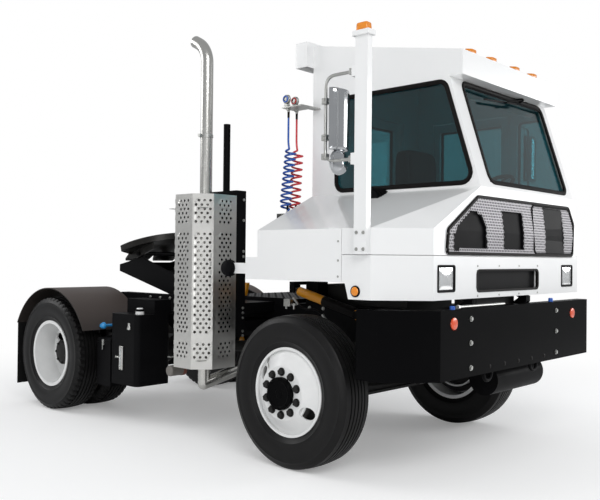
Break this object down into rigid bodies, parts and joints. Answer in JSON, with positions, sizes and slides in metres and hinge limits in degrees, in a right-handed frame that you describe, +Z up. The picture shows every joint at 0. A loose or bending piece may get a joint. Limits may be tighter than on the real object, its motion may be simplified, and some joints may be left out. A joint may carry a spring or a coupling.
{
  "type": "terminal tractor",
  "caption": "Short yard tractor with an offset single-seat cab, lifting fifth wheel, twin rear wheels, caged exhaust stack, coiled air hoses and a sliding rear door",
  "frame": {"origin": "on the ground, straight below the middle of the front axle", "axes": "+X forward, +Y to the driver's left, +Z up"},
  "size_m": [4.6058, 2.707, 3.1527],
  "materials": {
    "black_paint": "black chassis enamel",
    "black_plastic": "grained black plastic",
    "blue_hose": "blue nylon hose",
    "bright_steel": "bare bright steel",
    "chrome": "chromed metal",
    "glass": "tinted safety glass",
    "greased_steel": "greased cast steel",
    "iron": "dull cast iron",
    "lamp_plastic": "lamp lens plastic",
    "red_hose": "red nylon hose",
    "rubber": "black rubber sheet",
    "seat_fabric": "dark woven fabric",
    "tyre": "black tyre rubber",
    "white_paint": "white vehicle enamel",
    "yellow_paint": "yellow enamel"
  },
  "bodies": {
    "chassis": {"frame_rails": "black_paint", "cross_members": "black_paint", "front_axle": "iron", "rear_axle": "iron", "engine_and_drive_line": "iron", "radiator": "iron", "front_bumper": "black_paint", "tanks": "black_paint", "battery_box": "black_paint", "rear_fenders": "black_paint", "mud_flaps": "rubber", "exhaust_guard": "bright_steel", "exhaust_stack": "bright_steel", "exhaust_carrier": "black_paint", "deck_and_steps": "black_paint", "cab_mounts": "black_paint"},
    "left_steer": {"left_knuckle": "iron"},
    "right_steer": {"right_knuckle": "iron"},
    "front_left_roller": {"front_left_tyre": "tyre", "front_left_wheel": "white_paint"},
    "front_right_roller": {"front_right_tyre": "tyre", "front_right_wheel": "white_paint"},
    "rear_left_roller": {"rear_left_tyres": "tyre", "rear_left_wheels": "white_paint"},
    "rear_right_roller": {"rear_right_tyres": "tyre", "rear_right_wheels": "white_paint"},
    "left_door_leaf": {"left_door": "white_paint", "left_door_window": "glass"},
    "rear_door_leaf": {"rear_door": "white_paint", "rear_door_window": "glass"},
    "boom": {"lift_boom": "black_paint"},
    "fifth_wheel": {"fifth_wheel_plate": "greased_steel"},
    "lift_barrels": {"lift_cylinder_barrels": "yellow_paint"},
    "lift_rods": {"lift_cylinder_rods": "chrome"},
    "tilt_barrel": {"cab_tilt_barrel": "yellow_paint"},
    "tilt_rod": {"cab_tilt_rod": "chrome"},
    "cab": {"air_hose_leads": "rubber", "air_intake": "black_plastic", "blue_air_hose_coil": "blue_hose", "cab_floor": "black_paint", "cab_left_wall": "white_paint", "cab_rear_wall": "white_paint", "cab_right_wall": "white_paint", "cab_roof": "white_paint", "cab_windows": "glass", "dashboard": "black_paint", "door_header": "white_paint", "front_cowl": "white_paint", "grille": "bright_steel", "hose_brackets": "bright_steel", "lamp_panel": "white_paint", "lamps": "lamp_plastic", "mirror_post": "white_paint", "mirrors": "chrome", "red_air_hose_coil": "red_hose", "seat": "seat_fabric", "side_panel": "white_paint", "steering_wheel": "black_plastic", "windscreen_wall": "white_paint"}
  },
  "joints": [
    {"name": "steer_left", "type": "hinge", "parent": "chassis", "child": "left_steer", "pos_m": [0, 0.88, 0.515], "axis": [0, 0, 1], "range_deg": [-40, 40]},
    {"name": "steer_right", "type": "hinge", "parent": "chassis", "child": "right_steer", "pos_m": [0, -0.88, 0.515], "axis": [0, 0, 1], "range_deg": [-40, 40]},
    {"name": "front_left_roll", "type": "hinge", "parent": "left_steer", "child": "front_left_roller", "pos_m": [0, 1.026, 0.515], "axis": [0, 1, 0], "continuous": true},
    {"name": "front_right_roll", "type": "hinge", "parent": "right_steer", "child": "front_right_roller", "pos_m": [0, -1.026, 0.515], "axis": [0, 1, 0], "continuous": true},
    {"name": "rear_left_roll", "type": "hinge", "parent": "chassis", "child": "rear_left_roller", "pos_m": [-2.948, 0.914, 0.515], "axis": [0, 1, 0], "continuous": true},
    {"name": "rear_right_roll", "type": "hinge", "parent": "chassis", "child": "rear_right_roller", "pos_m": [-2.948, -0.914, 0.515], "axis": [0, 1, 0], "continuous": true},
    {"name": "cab_tilt", "type": "hinge", "parent": "chassis", "child": "cab", "pos_m": [0.95, 0, 1.135], "axis": [0, 1, 0], "range_deg": [0, 45]},
    {"name": "tilt_barrel_swing", "type": "hinge", "parent": "chassis", "child": "tilt_barrel", "pos_m": [0.12, -0.52, 1.01], "axis": [0, 1, 0], "range_deg": [0, 67.2]},
    {"name": "tilt_rod_slide", "type": "slide", "parent": "tilt_barrel", "child": "tilt_rod", "axis": [-0.9697, 0, 0.2443], "range_m": [0, 0.545]},
    {"name": "left_door_swing", "type": "hinge", "parent": "cab", "child": "left_door_leaf", "pos_m": [0.4175, 1.19, 0], "axis": [0, 0, -1], "range_deg": [0, 75]},
    {"name": "rear_door_slide", "type": "slide", "parent": "cab", "child": "rear_door_leaf", "axis": [0, -1, 0], "range_m": [0, 0.58]},
    {"name": "boom_lift", "type": "hinge", "parent": "chassis", "child": "boom", "pos_m": [-1.56, 0, 0.93], "axis": [0, 1, 0], "range_deg": [-14, 4]},
    {"name": "fifth_wheel_tilt", "type": "hinge", "parent": "boom", "child": "fifth_wheel", "pos_m": [-2.83, 0, 1.44], "axis": [0, 1, 0], "range_deg": [0, 30]},
    {"name": "lift_barrel_swing", "type": "hinge", "parent": "chassis", "child": "lift_barrels", "pos_m": [-1.9, 0, 0.62], "axis": [0, 1, 0], "range_deg": [-17, 5]},
    {"name": "lift_rod_slide", "type": "slide", "parent": "lift_barrels", "child": "lift_rods", "axis": [-0.7534, 0, 0.6575], "range_m": [-0.112, 0.033]}
  ],
  "couplings": [
    {"joint": "steer_right", "follows": "steer_left", "ratio": 1},
    {"joint": "tilt_barrel_swing", "follows": "cab_tilt", "ratio": 1.4927},
    {"joint": "tilt_rod_slide", "follows": "cab_tilt", "m_per_rad": 0.6935},
    {"joint": "lift_barrel_swing", "follows": "boom_lift", "ratio": 1.14},
    {"joint": "lift_rod_slide", "follows": "boom_lift", "m_per_rad": 0.445}
  ]
}
